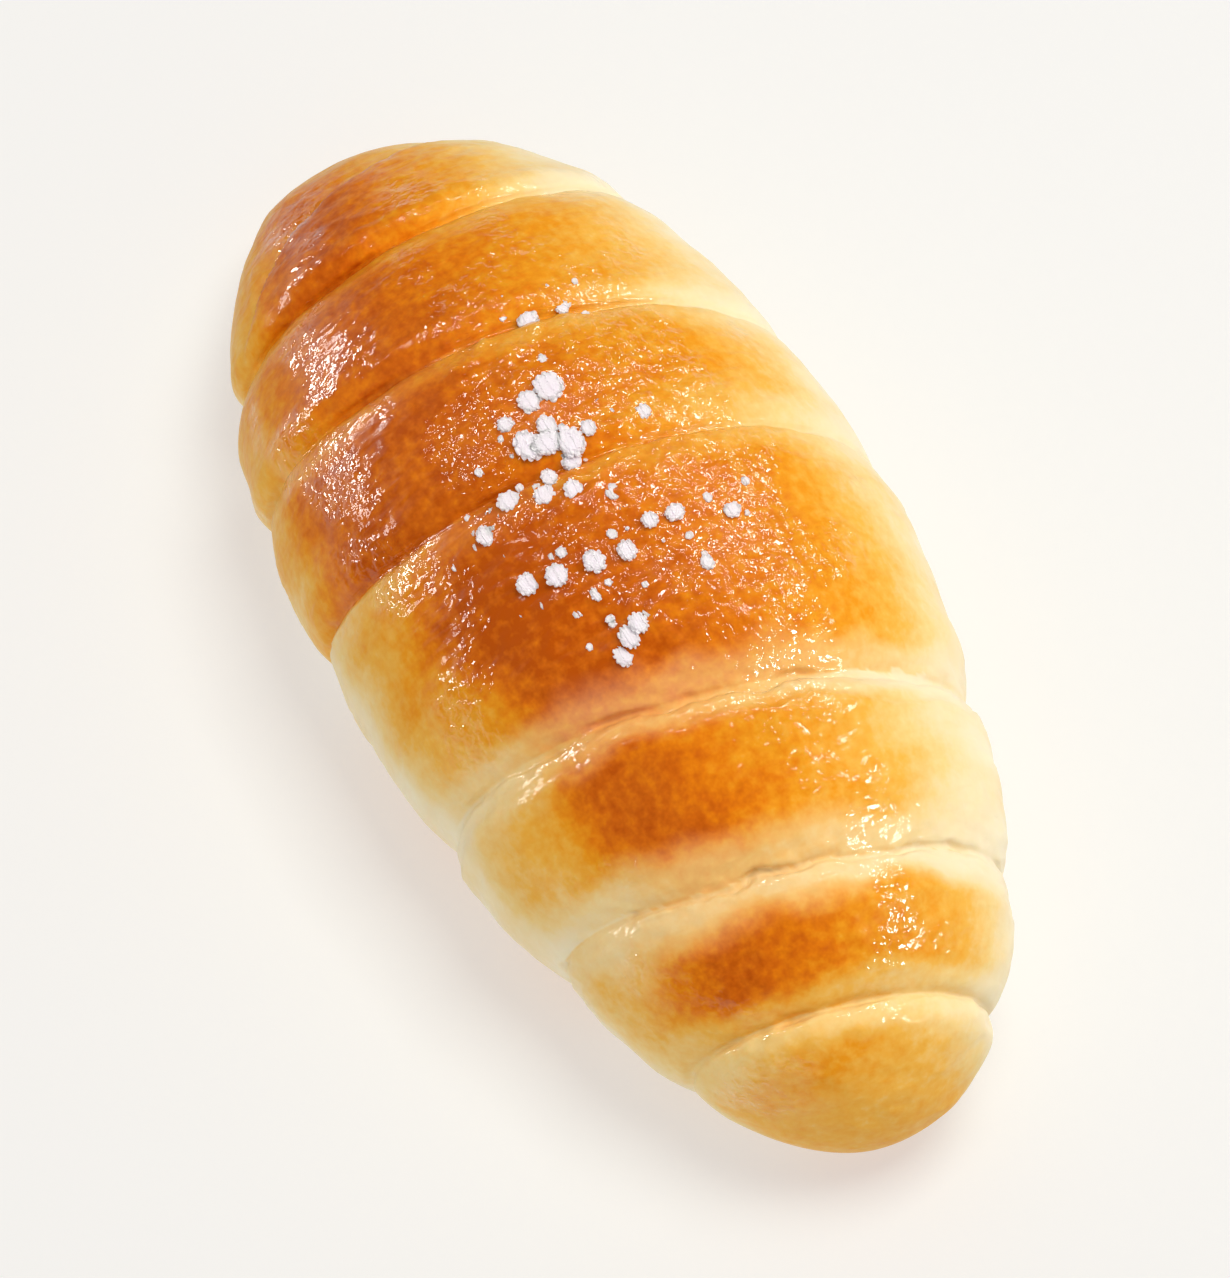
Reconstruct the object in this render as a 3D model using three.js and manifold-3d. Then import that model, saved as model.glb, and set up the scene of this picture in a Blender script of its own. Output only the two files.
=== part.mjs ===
// Salt bread roll (shio pan): a tapered strip of dough rolled up from its wide end, baked on a
// tray, brushed with butter and topped with coarse salt.
// Millimetres, +Z up. +X runs along the roll towards its narrower end. The origin is the middle
// of the flat base.

import * as THREE from 'three';
import { mergeVertices } from 'three/addons/utils/BufferGeometryUtils.js';
import Module from 'manifold-3d';

// ---- The loaf's body ----
const HALF_LENGTH = 66.4;
const HALF_WIDTH = 31.6;
const CROWN_HEIGHT = 46;
const WIDEST_HEIGHT = 19.5; // height of the widest line at mid-length
const TIP_HEIGHTS = { wide: 7, narrow: 9.7 }; // the ends curl up a little off the tray
const FULLNESS = { wide: 1.95, narrow: 2.2 }; // 2 is a plain ellipse in plan, more is squarer
const TAPER = 0.106; // share by which the narrow end is slimmer and the wide end broader
const BOW = 0.95; // the middle lies this far to one side of the ends
const BASE_ROUNDING = 3.5; // height over which the flank turns into the flat base
const UNEVENNESS = 0.35; // hand-rolled dough is this far from a true form
// Two waves make it uneven. A wave turns by one radian over its `run`, and `bend` or `twist` carries
// it round the loaf.
const SHORT_WAVE = { run: 8, bend: 1.3 };
const LONG_WAVE = { run: 13, twist: 2, start: 1 };
const OUTLINE_MIDDLE = { x: -0.1, y: 1.3 }; // middle of the plan, from the loaf's own lines

// ---- The dough's turns ----
// Each seam is where one turn of dough comes out from under the next. It crosses the crown at
// `along`, leans over by `lean` for each millimetre across, and is swept back by `sweep` at the
// near (-Y) and far (+Y) flank. `deep` is its depth at the near flank, the crown and the far
// flank. The upper turn comes down to it over `lip`, in a rounded edge where `overlap` is 1 and in
// a soft valley where it is 0. The lower turn rises out of it over `tuck`.
const MIDDLE = 8; // the widest turn; lips face away from it
const SEAMS = [
  { along: -42.5, lean: 0.02, sweep: [1.4, 2.1], deep: [2.2, 2.2, 0.7], overlap: 0.8, lip: 7, tuck: 3.5 },
  { along: -24.6, lean: 0.14, sweep: [2.3, 4.7], deep: [1.4, 1.5, 0.5], overlap: 0.7, lip: 7, tuck: 3.5 },
  { along: -5.3, lean: 0.12, sweep: [-0.2, 3.4], deep: [0.9, 1.0, 0.4], overlap: 0.6, lip: 7, tuck: 3.5 },
  { along: 23.4, lean: 0.26, sweep: [0, -0.2], deep: [1.9, 1.9, 1.8], overlap: 0.2, lip: 8, tuck: 5 },
  { along: 42.8, lean: 0.25, sweep: [-3, 0.2], deep: [0.9, 1.9, 1.2], overlap: 0.2, lip: 7, tuck: 5 },
  { along: 56.1, lean: 0.25, sweep: [-0.8, 1.0], deep: [1.0, 3.0, 2.0], overlap: 1, lip: 6, tuck: 3.5 },
];
const TUCK_CURVE = 1.6; // above 1, the lower turn rises out of a seam in a hollow curve
const FULL_DEPTH_WIDTH = 12; // seams get shallower where the loaf's half-width is under this

// ---- The salt ----
// Short trails of grains over the crown, each from one place to another, as [along, across].
const TRAILS = [
  { from: [-25.2, 6], to: [-25, 2], count: 2, grain: 2.2 },
  { from: [-14.7, -0.4], to: [-14.4, -3.5], count: 2, grain: 2.7 },
  { from: [-12.6, -6.6], to: [-8.8, 0.5], count: 3, grain: 2.2 },
  { from: [-9, -5.7], to: [-7.7, -1.8], count: 3, grain: 3.1 },
  { from: [-5.2, -5.6], to: [-5.5, -2.2], count: 2, grain: 2.1 },
  { from: [-4.6, -10.1], to: [-2, -4], count: 3, grain: 2.6 },
  { from: [-8.8, 6.7], to: [-8.8, 6.7], count: 1, grain: 1.9 },
  { from: [-0.4, -0.4], to: [-0.4, -0.4], count: 1, grain: 1.7 },
  { from: [4, 1.6], to: [4.3, 4.4], count: 2, grain: 2.3 },
  { from: [4.9, 10.1], to: [10.6, 5], count: 2, grain: 1.9 },
  { from: [-1.9, -14.2], to: [-1.9, -14.2], count: 1, grain: 2.1 },
  { from: [6.7, -2.4], to: [6.7, -6], count: 2, grain: 2.6 },
  { from: [4, -8.2], to: [10.3, -7], count: 2, grain: 1.4 },
  { from: [6.4, -10], to: [6.1, -12.7], count: 2, grain: 2.5 },
  { from: [14.7, -4.7], to: [17.8, -7.6], count: 3, grain: 2.5 },
];
const STRAY = 0.3; // a grain lies up to this far off its trail
const GRAIN_SPREAD = 0.15; // share by which grains of a trail differ in size
const GRAIN_RAGGEDNESS = 0.2;
const GRAIN_SINK = 0.25; // share of its radius by which a grain's middle is sunk into the butter
const SEED = 20481;

// ---- Fineness of the faceted surface ----
const COLUMNS = 56;
const CROWN_CROWDING = 0.3; // columns lie closer together on the crown than under the base
const LIP_ROWS = [0, 0.4, 1.2, 2.6, 4.5]; // rows on the lip's side of a seam, by distance
const TUCK_ROWS = [1, 2.2, 3.6];
const ROW_GAP = 4;
const TIP_ROWS = 6;

const clamp01 = (value) => Math.min(1, Math.max(0, value));

// Seeded random numbers between 0 and 1.
let state = SEED;
function draw() {
  state = (Math.imul(state, 1664525) + 1013904223) >>> 0;
  return state / 4294967296;
}

// A seam's value carried smoothly over to the next seam's.
function blend(along, read) {
  const next = SEAMS.findIndex((seam) => seam.along > along);
  if (next === 0) return read(SEAMS[0]);
  if (next < 0) return read(SEAMS.at(-1));
  const from = SEAMS[next - 1];
  const to = SEAMS[next];
  const t = THREE.MathUtils.smoothstep(along, from.along, to.along);
  return read(from) + (read(to) - read(from)) * t;
}

// How far the surface is sunk by the seams. `flank` is -1 at the near side and 1 at the far one.
function seamDepth(along, flank) {
  const sideways = flank * flank;
  let deepest = 0;
  for (const seam of SEAMS) {
    const inward = seam.along < MIDDLE ? along - seam.along : seam.along - along;
    const onLip = clamp01(1 - inward / seam.lip);
    const inTuck = clamp01(1 + inward / seam.tuck);
    const rounded = 1 - Math.sqrt(1 - onLip * onLip);
    const lip = THREE.MathUtils.lerp(onLip * onLip, rounded, seam.overlap);
    const shape = inward >= 0 ? lip : inTuck ** TUCK_CURVE;
    const side = flank < 0 ? seam.deep[0] : seam.deep[2];
    const depth = seam.deep[1] * (1 - sideways) + side * sideways;
    deepest = Math.max(deepest, shape * depth);
  }
  return deepest;
}

// How far two slow waves lift the surface off a true form.
function unevenness(along, angle) {
  const short = Math.sin(along / SHORT_WAVE.run + SHORT_WAVE.bend * Math.sin(angle));
  const long = Math.sin(along / LONG_WAVE.run - LONG_WAVE.twist * angle + LONG_WAVE.start);
  return UNEVENNESS * (short + long) / 2;
}

// The point of the surface at a place along the loaf and an angle round it, 0 on the crown and
// 90 degrees on the far (+Y) flank.
function surfacePoint(along, angle) {
  const end = along < 0 ? 'wide' : 'narrow';
  const share = along / HALF_LENGTH;
  const fullness = FULLNESS[end];
  const swell = Math.max(0, 1 - Math.abs(share) ** fullness) ** (1 / fullness);
  const flank = Math.sin(angle);

  // A slice that leans over has its middle where the plan's ellipse cuts the leaning line.
  const lean = blend(along, (seam) => seam.lean);
  const ratio = (HALF_WIDTH / HALF_LENGTH) ** 2;
  const centre = -lean * along * ratio / (1 + lean * lean * ratio) + BOW * (1 - share * share);

  const width = HALF_WIDTH * swell * (1 - TAPER * share);
  const height = (CROWN_HEIGHT - WIDEST_HEIGHT) * swell;
  const fade = Math.min(1, width / FULL_DEPTH_WIDTH);
  const sunk = (seamDepth(along, flank) - unevenness(along, angle)) * fade;
  const middle = TIP_HEIGHTS[end] + (WIDEST_HEIGHT - TIP_HEIGHTS[end]) * swell;

  const y = centre + Math.max(0, width - sunk) * flank;
  const sweep = blend(along, (seam) => seam.sweep[flank < 0 ? 0 : 1]);
  const x = along + lean * y + sweep * flank * flank * swell;
  const free = middle + Math.max(0, height - sunk) * Math.cos(angle);

  // The underside is flat where it lay on the tray, with a rounded edge.
  const edge = Math.max(0, BASE_ROUNDING - Math.abs(free));
  const z = Math.max(0, free) + edge * edge / (4 * BASE_ROUNDING);
  return new THREE.Vector3(x - OUTLINE_MIDDLE.x, y - OUTLINE_MIDDLE.y, z);
}

// Places along the loaf where the surface gets a row of points: close together at the seams and
// at both tips, and no further apart than ROW_GAP in between.
function rowPlaces() {
  const marks = SEAMS.flatMap((seam) => {
    const inward = seam.along < MIDDLE ? 1 : -1;
    const lip = LIP_ROWS.map((distance) => seam.along + inward * distance);
    const tuck = TUCK_ROWS.map((distance) => seam.along - inward * distance);
    return [...lip, ...tuck];
  });
  marks.sort((a, b) => a - b);
  const places = [];
  for (let row = 0; row < TIP_ROWS; row += 1) {
    const share = 1 - Math.cos(Math.PI / 2 * row / TIP_ROWS);
    places.push(THREE.MathUtils.lerp(-HALF_LENGTH, marks[0], share));
  }
  marks.forEach((mark, index) => {
    places.push(mark);
    const gap = index + 1 < marks.length ? marks[index + 1] - mark : 0;
    const steps = Math.ceil(gap / ROW_GAP);
    for (let step = 1; step < steps; step += 1) places.push(mark + gap * step / steps);
  });
  for (let row = TIP_ROWS - 1; row >= 0; row -= 1) {
    const share = 1 - Math.cos(Math.PI / 2 * row / TIP_ROWS);
    places.push(THREE.MathUtils.lerp(HALF_LENGTH, marks.at(-1), share));
  }
  return places;
}

// The loaf: a sphere's net of rows and columns laid over the surface.
function loafGeometry() {
  const places = rowPlaces();
  const geometry = new THREE.SphereGeometry(1, COLUMNS, places.length - 1);
  const position = geometry.getAttribute('position');
  for (let index = 0; index < position.count; index += 1) {
    const row = Math.floor(index / (COLUMNS + 1));
    const column = index % (COLUMNS + 1) % COLUMNS;
    const turn = 2 * Math.PI * column / COLUMNS;
    const point = surfacePoint(places[row], turn - CROWN_CROWDING * Math.sin(turn));
    position.setXYZ(index, point.x, point.y, point.z);
  }
  return geometry;
}

// One ragged grain of salt about its own middle.
function grainGeometry(diameter) {
  const geometry = mergeVertices(bare(new THREE.IcosahedronGeometry(diameter / 2, 0)));
  const position = geometry.getAttribute('position');
  for (let index = 0; index < position.count; index += 1) {
    const stretch = 1 + GRAIN_RAGGEDNESS * (2 * draw() - 1);
    const [x, y, z] = [position.getX(index), position.getY(index), position.getZ(index)];
    position.setXYZ(index, x * stretch, y * stretch, z * stretch);
  }
  return geometry;
}

// The grains of every trail, each on the crust where it fell.
function saltGeometries() {
  const grains = [];
  const stray = () => STRAY * (2 * draw() - 1);
  for (const { from, to, count, grain } of TRAILS) {
    for (let index = 0; index < count; index += 1) {
      const share = count > 1 ? index / (count - 1) : 0;
      const along = THREE.MathUtils.lerp(from[0], to[0], share) + stray();
      const across = THREE.MathUtils.lerp(from[1], to[1], share) + stray();
      const diameter = grain * (1 + GRAIN_SPREAD * (2 * draw() - 1));
      const place = surfacePoint(along, Math.asin(across / HALF_WIDTH));
      const rise = diameter / 2 * (1 - 2 * GRAIN_SINK);
      grains.push(grainGeometry(diameter).translate(place.x, place.y, place.z + rise));
    }
  }
  return grains;
}

// A geometry with nothing but positions, so that points at one place are one point.
function bare(geometry) {
  geometry.deleteAttribute('normal');
  geometry.deleteAttribute('uv');
  return geometry;
}

const wasm = await Module();
wasm.setup();

function toSolid(geometry) {
  const merged = mergeVertices(bare(geometry));
  return new wasm.Manifold(new wasm.Mesh({
    numProp: 3,
    vertProperties: new Float32Array(merged.getAttribute('position').array),
    triVerts: new Uint32Array(merged.getIndex().array),
  }));
}

function toGeometry(solid) {
  const mesh = solid.getMesh();
  const geometry = new THREE.BufferGeometry();
  geometry.setAttribute('position', new THREE.BufferAttribute(mesh.vertProperties, 3));
  geometry.setIndex(new THREE.BufferAttribute(mesh.triVerts, 1));
  geometry.computeVertexNormals();
  return geometry;
}

// The salt is stuck fast in the buttered crust, so loaf and grains are one solid.
let solid = toSolid(loafGeometry());
for (const grain of saltGeometries()) solid = solid.add(toSolid(grain));

const crust = new THREE.MeshStandardMaterial({ color: 0xcf7f2c, roughness: 0.35, metalness: 0 });
const loaf = new THREE.Mesh(toGeometry(solid), crust);
loaf.name = 'salt_bread_roll';

const roll = new THREE.Group();
roll.add(loaf);

export default roll;
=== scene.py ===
"""Salt bread roll (shio pan): a browned, buttered roll with coarse salt on its crown.

The roll is a strip of dough wound up from its wide end. Its turns overlap like shingles on the
wider side and have burst their skin at the seams on the narrower side. Lengths in the tables are
millimetres, and the scene is in metres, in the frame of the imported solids.
"""

import math
import random

import bpy
import numpy as np
from mathutils import Matrix, Vector, noise


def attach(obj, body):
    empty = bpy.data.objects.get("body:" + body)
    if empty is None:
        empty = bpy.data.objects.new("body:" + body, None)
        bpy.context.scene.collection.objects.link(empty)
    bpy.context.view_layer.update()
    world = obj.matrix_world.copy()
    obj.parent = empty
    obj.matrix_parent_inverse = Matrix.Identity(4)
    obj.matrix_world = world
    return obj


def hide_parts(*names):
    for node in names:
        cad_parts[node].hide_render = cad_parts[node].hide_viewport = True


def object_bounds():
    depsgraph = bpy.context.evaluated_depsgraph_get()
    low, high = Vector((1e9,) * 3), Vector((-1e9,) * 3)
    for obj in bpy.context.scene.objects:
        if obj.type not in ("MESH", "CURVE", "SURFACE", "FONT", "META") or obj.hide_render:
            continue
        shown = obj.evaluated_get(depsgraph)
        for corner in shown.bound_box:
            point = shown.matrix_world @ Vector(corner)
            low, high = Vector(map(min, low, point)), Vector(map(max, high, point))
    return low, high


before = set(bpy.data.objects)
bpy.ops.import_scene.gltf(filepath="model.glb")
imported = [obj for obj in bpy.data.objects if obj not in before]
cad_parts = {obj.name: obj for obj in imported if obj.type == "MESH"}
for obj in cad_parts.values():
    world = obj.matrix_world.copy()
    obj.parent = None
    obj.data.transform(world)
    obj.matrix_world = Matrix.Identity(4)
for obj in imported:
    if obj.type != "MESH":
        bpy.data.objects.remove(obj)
CAD_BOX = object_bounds()

bl_info = {
    "name": "Salt bread roll",
    "version": (1, 0, 0),
    "blender": (4, 5, 0),
    "location": "View3D > Sidebar > Bread",
    "description": "Models a salt bread roll with its browned crust and coarse salt",
    "category": "Object",
}

MM = 0.001
BODY = "root"
NODE = "salt_bread_roll"

# ---- The loaf's form, the same named sizes as its solid has ----
HALF_LENGTH = 66.4
HALF_WIDTH = 31.6
CROWN_HEIGHT = 46
WIDEST_HEIGHT = 19.5  # height of the widest line at mid-length
TIP_HEIGHTS = (7, 9.7)  # the wide and the narrow end curl up a little off the tray
FULLNESS = (1.95, 2.2)  # 2 is a plain ellipse in plan, more is squarer
TAPER = 0.106
BOW = 0.95
BASE_ROUNDING = 3.5
UNEVENNESS = 0.35
SHORT_WAVE = {"run": 8, "bend": 1.3}
LONG_WAVE = {"run": 13, "twist": 2, "start": 1}
OUTLINE_MIDDLE = (-0.1, 1.3)
MIDDLE = 8  # the widest turn; lips face away from it
TUCK_CURVE = 1.6
FULL_DEPTH_WIDTH = 12

# Each seam crosses the crown at `along`, leans over by `lean` for each millimetre across, is swept
# back by `sweep` at the near (-Y) and far (+Y) flank, and is `deep` at the near flank, the crown
# and the far flank. `pale` is the share of the browning that the dough beside it missed on the
# upper turn, on the lower one and on that one's far flank. It fades out over `reach` on the upper
# turn, on the lower one and on that one's near flank. `torn` is how raggedly its skin burst.
SEAMS = [
    {"along": -42.5, "lean": 0.02, "sweep": (1.4, 2.1), "deep": (2.2, 2.2, 0.7), "overlap": 0.8,
     "lip": 7, "tuck": 3.5, "pale": (0.25, 0, 0.6), "reach": (4, 5, 5), "torn": 0.1},
    {"along": -24.6, "lean": 0.14, "sweep": (2.3, 4.7), "deep": (1.4, 1.5, 0.5), "overlap": 0.7,
     "lip": 7, "tuck": 3.5, "pale": (0.3, 0.05, 0.7), "reach": (5, 5, 5), "torn": 0.2},
    {"along": -5.3, "lean": 0.12, "sweep": (-0.2, 3.4), "deep": (0.9, 1.0, 0.4), "overlap": 0.6,
     "lip": 7, "tuck": 3.5, "pale": (0.25, 0, 0.5), "reach": (4.5, 7, 7), "torn": 0.2},
    {"along": 23.4, "lean": 0.26, "sweep": (0, -0.2), "deep": (1.9, 1.9, 1.8), "overlap": 0.2,
     "lip": 8, "tuck": 5, "pale": (0.38, 0.4, 0.75), "reach": (4.5, 3.6, 8), "torn": 1},
    {"along": 42.8, "lean": 0.25, "sweep": (-3, 0.2), "deep": (0.9, 1.9, 1.2), "overlap": 0.2,
     "lip": 7, "tuck": 5, "pale": (0.5, 0.66, 0.85), "reach": (5, 5, 7), "torn": 0.9},
    {"along": 56.1, "lean": 0.25, "sweep": (-0.8, 1.0), "deep": (1.0, 3.0, 2.0), "overlap": 1,
     "lip": 6, "tuck": 3.5, "pale": (0.5, 0.58, 0.6), "reach": (3, 5.5, 6), "torn": 0.1},
]

# How strongly the oven's heat browned the crust, from 0, white dough, to 1, at angles round the
# loaf: 0 is the crown's middle, and + is the far side. Part of it is painted light: the far side
# is painted paler, for the light and sheen that fall on it, and the near side more golden, as
# painted shade.
BROWNING_AND_SIDE_LIGHT = {-180: 0.6, -118: 0.05, -95: 0.06, -85: 0.2, -75: 0.34, -65: 0.42, -55: 0.51, -45: 0.74,
            -35: 0.93, -25: 0.97, -10: 0.84, 5: 0.72, 20: 0.61, 35: 0.51, 45: 0.4, 55: 0.26,
            65: 0.12, 80: 0.03, 118: 0.03, 180: 0.6}
# Each turn of dough, from the wide end on, has its own share of that heat, and its pattern is
# shifted outwards by some degrees on its near side and towards the crown on its far side.
TURNS = [
    {"heat": 0.88, "near": 7, "far": 22},
    {"heat": 0.87, "near": 8, "far": 8},
    {"heat": 0.9, "near": 21, "far": 4},
    {"heat": 1.05, "near": -11, "far": 4},
    {"heat": 0.85, "near": -17, "far": 16},
    {"heat": 0.88, "near": 8, "far": 2},
    {"heat": 0.57, "near": 17, "far": -6},
]
SIDES_START = 20  # degrees on the other side of the crown where the shift of each side starts
SIDES_SOFT = 40  # degrees over which it grows to the full
HEAT_WARP = 5  # degrees by which lumps in the heat warp its pattern
MOTTLING = 0.05  # how strongly the same lumps, and streaks, mottle it
# The seams on the near flank's lower part are less pale: from which angle down, over how many
# degrees and by what share.
LOW_FLANK = {"start": -50, "soft": 30, "less": 0.45}
# The pale dough beside a seam: how raggedly it ends with whole skin, how much more with torn
# skin, how its width sways, and the share of that width at which it starts to fade.
PALE_RAGGED = 0.2
PALE_TORN = 0.25
PALE_SWAY = 0.35
PALE_CORE = 0.3
FAR_TUCK = {"start": 5, "soft": 40}  # degrees where the values of the far flank take over
NEAR_TUCK_SOFT = 60  # degrees over which those of the near flank do
BARE_TINT = 0.45  # how far dough laid bare keeps its own colour
# The browning of the wide and the narrow end's outermost dough, and the share of the half length
# where it starts.
TIPS = ((0.38, 0.86), (0.36, 0.93))
CAP = (0.88, 0.99)  # shares of the half length between which the very ends turn evenly brown

# How much of the butter stays in view, at angles round the loaf.
BUTTER = {-180: 0, -90: 0, -68: 0.4, -48: 0.65, -32: 0.45, -18: 0.25, 0: 0.45, 20: 0.6, 40: 0.5,
          55: 0.2, 68: 0, 180: 0}
BUTTER_PATCHY = 0.55
BUTTER_LEVEL = 0.25  # less than this soaks in
BUTTER_SOFT = 0.9
BUTTER_ON_SALTED = 0.7  # what melting salt adds
BUTTER_ENDS = (18, 6)  # how far from the wide and the narrow end it ran off
BUTTER_ON_PALE = 0.35  # what pale dough leaves of it
BUTTER_BROWN = 0.5  # the browning that leaves all of it
# Melting salt wetted an oval of the crown: its middle, its half sizes and how far it goes on
# fading past them.
SALTED = {"middle": (-5, 1), "reach": (26, 15), "fade": 1.5}

# ---- The fine relief of the crust ----
GIRTH = 0.55  # millimetres round the loaf for each degree
RELIEF_END = 120  # degrees from the crown's middle down to where the relief is gone
RELIEF_FADE = 25
# The crease along a seam: how far outside the lip's edge it lies, its half width, the share of
# its depth that is usual, how much that varies, the least of it, and how raggedly torn skin ends.
CREASE = {"outside": 0.3, "width": 0.35, "usual": 0.6, "varies": 0.5, "least": 0.1, "ragged": 0.7}
# Where the skin is torn it ends in a low step on the lower turn: from which share of the pale
# dough's width on, how far it sways, and how high, steep and long it is.
TORN = 0.5
SKIN_EDGE = {"place": 0.8, "sway": 0.8, "height": 0.2, "step": 0.5, "length": 4}
# Ribs of stretched dough run along the torn seams.
RIBS = {"gap": 1.9, "depth": 0.12, "outside": 1, "reach": 3}
SWELLS = 2.2  # height of the skin's slow swells, as a share of the wrinkles' depth
BLISTERS = 1.8  # and that of its blisters
BLISTER_LEVEL = 0.15  # where the blisters' pattern starts to rise
BLISTER_PATCHES = -0.25  # and the pattern of their patches
BLISTER_SOFT = 0.5
# The outermost dough of the wide end is folded: where the fold lies along the loaf, at angles
# round it, how deep it is, how far its hollow runs towards the end, where it ends on the flanks,
# over how many degrees it fades there, and how much of the browning it missed.
FOLD = {-80: -43, -60: -47.4, -49: -50.6, -36: -54.1, -20: -55.9, -7: -56.6, 17: -58, 70: -59}
FOLD_DEPTH = 1.0
FOLD_REACH = 3.5
FOLD_END = 80
FOLD_FADE = 30
FOLD_PALE = 0.3

# ---- Patterns: the spacing of the largest lumps along X, Y and Z, the octaves and a seed ----
PATTERNS = {
    "heat": ((11, 16, 16), 3, 5.5),
    "streaks": ((3.5, 14, 14), 3, 8.2),
    "pale_edge": ((2, 3, 3), 3, 31.0),
    "pale_sway": ((7, 7, 7), 2, 37.0),
    "butter": ((7, 6, 6), 3, 61.0),
    "swells": ((9, 13, 13), 2, 3.1),
    "wrinkles": ((1.7, 3.4, 3.4), 2, 11.7),
    "dimples": ((4, 5, 5), 2, 23.0),
    "blisters": ((1.5, 1.9, 1.9), 2, 41.0),
    "blister_patches": ((6, 6, 6), 2, 47.0),
}
# The same along the seams: the spacing, the octaves and the first seam's seed. Each further seam's
# seed is one more.
SEAM_PATTERNS = {"ragged": (5, 4, 0), "gape": (6, 3, 20), "skin": (6, 4, 40)}
LATTICE = (127.1, 311.7, 74.7)  # steps of the noise's random values along X, Y and Z
SCATTER = 43758.5453
OCTAVE_SHIFT = 17.3

# ---- The net of points over the loaf ----
ROW_SAMPLES = 6001
EVEN_ROWS = 0.6  # rows everywhere
TIP_ROWS = 0.6  # more of them towards the tips
TIP_LIMIT = 1.003  # just above 1, so that the tips' share stays finite
SEAM_ROWS = 1.6  # and at each seam
SEAM_ROWS_REACH = 1.4
CROWN_COLUMNS = 0.4  # how much closer together the columns stand on the crown

# ---- The salt, in short trails from one place to another, as (along, across) ----
TRAILS = [
    {"from": (-25.2, 6), "to": (-25, 2), "count": 2, "grain": 2.2},
    {"from": (-14.7, -0.4), "to": (-14.4, -3.5), "count": 2, "grain": 2.7},
    {"from": (-12.6, -6.6), "to": (-8.8, 0.5), "count": 3, "grain": 2.2},
    {"from": (-9, -5.7), "to": (-7.7, -1.8), "count": 3, "grain": 3.1},
    {"from": (-5.2, -5.6), "to": (-5.5, -2.2), "count": 2, "grain": 2.1},
    {"from": (-4.6, -10.1), "to": (-2, -4), "count": 3, "grain": 2.6},
    {"from": (-8.8, 6.7), "to": (-8.8, 6.7), "count": 1, "grain": 1.9},
    {"from": (-0.4, -0.4), "to": (-0.4, -0.4), "count": 1, "grain": 1.7},
    {"from": (4, 1.6), "to": (4.3, 4.4), "count": 2, "grain": 2.3},
    {"from": (4.9, 10.1), "to": (10.6, 5), "count": 2, "grain": 1.9},
    {"from": (-1.9, -14.2), "to": (-1.9, -14.2), "count": 1, "grain": 2.1},
    {"from": (6.7, -2.4), "to": (6.7, -6), "count": 2, "grain": 2.6},
    {"from": (4, -8.2), "to": (10.3, -7), "count": 2, "grain": 1.4},
    {"from": (6.4, -10), "to": (6.1, -12.7), "count": 2, "grain": 2.5},
    {"from": (14.7, -4.7), "to": (17.8, -7.6), "count": 3, "grain": 2.5},
]
STRAY = 0.3
GRAIN_SPREAD = 0.15  # how much the grains of one trail differ
GRAIN_SINK = 0.25  # how deep the solid's grains sit in the crust, as a share of their width
FORM_DRAWS = 12  # random numbers that the solid's grain takes for its own form
GRAIN_SETTLED = 0.16  # how much lower the flat grains lie, as a share of their width
GRAIN_DETAIL = 5  # subdivisions
# A grain's half sizes as shares of its radius, its tilt, and the steps of its broken faces.
GRAIN_LONG = (0.85, 1.15)
GRAIN_BROAD = (0.8, 1.05)
GRAIN_THICK = 0.22
GRAIN_TILT = 0.3
GRAIN_STEP = 0.3
GRAIN_STEPPED = 0.3
# Its scalloped edge: scallops for each radius, the share left between them, and their height.
SCALLOPS = 1.7
SCALLOP_ROOT = 0.82
SCALLOP_HEIGHT = 0.7
SCALLOP_TOP = 0.4
BLOCKY = 0.6  # 1 is a rounded grain, less has a flatter top and steeper sides
# The crumbs: how far from a grain they lie, the roots of the least and the greatest share of
# their full width, and how deep they sink in.
CRUMB_REACH = (0.7, 5)
CRUMB_ROOTS = (0.4, 0.68)
CRUMB_WIDTH = 2.6
CRUMB_SINK = 0.05
CRUMB_DETAIL = 3
CROWN_REACH = 12  # how far along the loaf, and round it in degrees, a crumb's place is looked for
CROWN_SIDE = 70
SEED = 20481

# ---- The stage ----
FLOOR_SIZE = 6  # metres
FLOOR_GLOW = "#FFF7FD"
ROOM_WHITE = "#FFFDF9"
# The large lights: azimuth and elevation in degrees, and width and height in metres.
KEY = ((70, 40), (0.4, 0.3))
FRONT = ((-70, 35), (0.8, 0.8))
TOP = ((95, 75), (0.45, 0.45))
KEY_WHITE = "#FFFAF2"
GLINT_WHITE = "#FFFBF5"
# The small lights that glint in the butter have their share of the brightness as well.
GLINTS = (
    ((-128, 12), (0.4, 0.11), 1.2),
    ((-153, 8), (0.3, 0.11), 1.3),
    ((82, 47), (0.16, 0.13), 0.65),
    ((108, 38), (0.18, 0.14), 0.55),
    ((133, 48), (0.13, 0.13), 0.5),
    ((168, 55), (0.13, 0.13), 0.5),
    ((-150, 50), (0.12, 0.12), 0.35),
    ((30, 27), (0.22, 0.16), 1.5),
)
LAMP_HEIGHT = 0.02  # metres; the lamps stand round a point this far above the floor
# The camera aims near the loaf's middle, in millimetres, and then this far to the right and up.
AIM = (0.1, -1.3, 20)
AIM_SHIFT = (0.44, -4.32)
LENS = 168.4  # millimetres, on a sensor this wide:
SENSOR = 36
CLIP = (0.05, 20)  # metres

# ---- Sizes of the materials' patterns, in millimetres ----
BLOTCH_SIZE = 5
FRECKLE_SIZE = 1.3
WRINKLE_SIZE = 1.1
RIPPLE_SIZE = 1.05
FACET_SIZE = 0.35
# How strongly the first two change the browning, and the rest of it, for a usual level of 1.
BLOTCHY = 0.4
FRECKLED = 0.8
UNCHANGED = 0.4


# ---------------------------------------------------------------------------
# Sizes and colours that a user would change
# ---------------------------------------------------------------------------


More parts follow.
